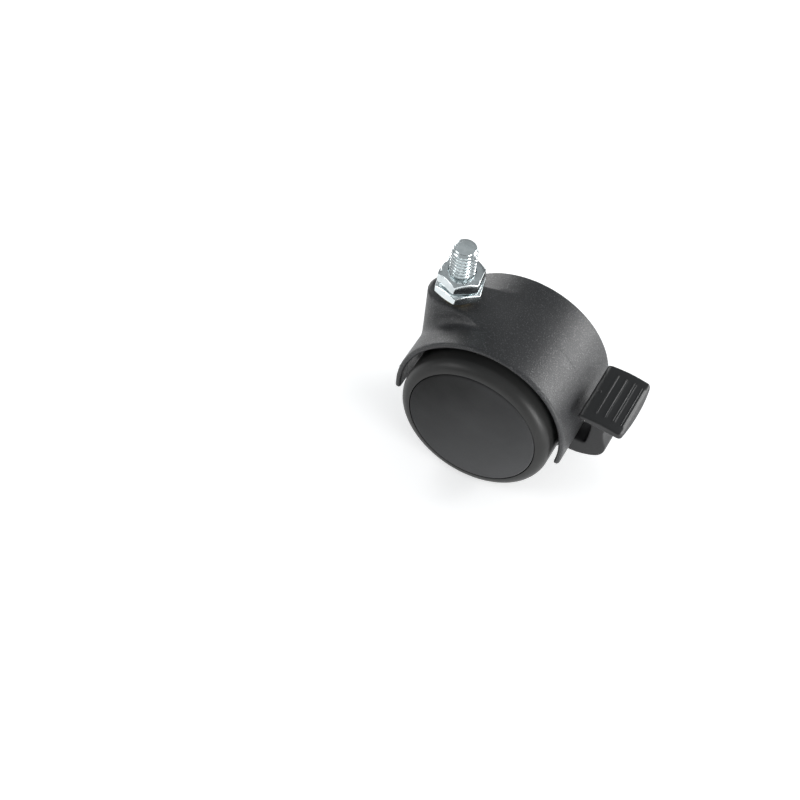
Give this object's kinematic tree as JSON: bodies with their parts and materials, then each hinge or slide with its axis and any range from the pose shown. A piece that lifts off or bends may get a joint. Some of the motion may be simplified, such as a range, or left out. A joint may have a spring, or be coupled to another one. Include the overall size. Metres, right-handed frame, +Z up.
{
  "type": "chair caster wheel",
  "caption": "Twin-wheel swivel caster for office furniture: threaded stem with hex collar and lock nut, curved hood over both wheels, and a foot-pedal wheel brake.",
  "frame": {"origin": "centre of the lock nut's top face with the nut at its resting height, on the stem axis", "axes": "+Z up the threaded stem, +X back over the wheels towards the brake pedal, +Y towards the left wheel, parallel to the wheel axle"},
  "size_m": [0.0729, 0.0454, 0.0748],
  "materials": {
    "zinc_steel": "bright zinc plate",
    "nut_steel": "bright zinc plate",
    "washer_brass": "plain",
    "spring_steel": "dark spring steel",
    "hood_plastic": "fine moulded grain",
    "pin_steel": "drawn bar",
    "rim_plastic": "moulded",
    "tyre_tread": "satin",
    "cap_plastic": "fine matte",
    "lever_plastic": "satin on the foot plate"
  },
  "bodies": {
    "stem": {"threaded_stem": "zinc_steel", "thrust_washer": "washer_brass", "retaining_ring": "spring_steel"},
    "lock_nut": {"lock_nut": "nut_steel"},
    "housing": {"housing": "hood_plastic", "axle": "pin_steel", "spacer_washer_left": "pin_steel", "spacer_washer_right": "pin_steel", "axle_clip_left": "spring_steel", "axle_clip_right": "spring_steel", "brake_pivot_pin": "pin_steel", "friction_spring": "spring_steel"},
    "wheel_left": {"wheel_rim_left": "rim_plastic", "tyre_left": "tyre_tread", "hub_cap_left": "cap_plastic"},
    "wheel_right": {"wheel_rim_right": "rim_plastic", "tyre_right": "tyre_tread", "hub_cap_right": "cap_plastic"},
    "brake_lever": {"brake_lever": "lever_plastic", "brake_cross_pin": "pin_steel"}
  },
  "joints": [
    {"name": "swivel", "type": "hinge", "parent": "stem", "child": "housing", "pos_m": [0, 0, 0], "axis": [0, 0, 1], "continuous": true},
    {"name": "wheel_left_spin", "type": "hinge", "parent": "housing", "child": "wheel_left", "pos_m": [0.0184, 0, -0.0398], "axis": [0, 1, 0], "continuous": true},
    {"name": "wheel_right_spin", "type": "hinge", "parent": "housing", "child": "wheel_right", "pos_m": [0.0184, 0, -0.0398], "axis": [0, 1, 0], "continuous": true},
    {"name": "brake_pivot", "type": "hinge", "parent": "housing", "child": "brake_lever", "pos_m": [0.0364, 0, -0.0468], "axis": [0, 1, 0], "range_deg": [0, 14]},
    {"name": "lock_nut_travel", "type": "slide", "parent": "stem", "child": "lock_nut", "axis": [0, 0, 1], "range_m": [-0.0001, 0.0088]}
  ]
}
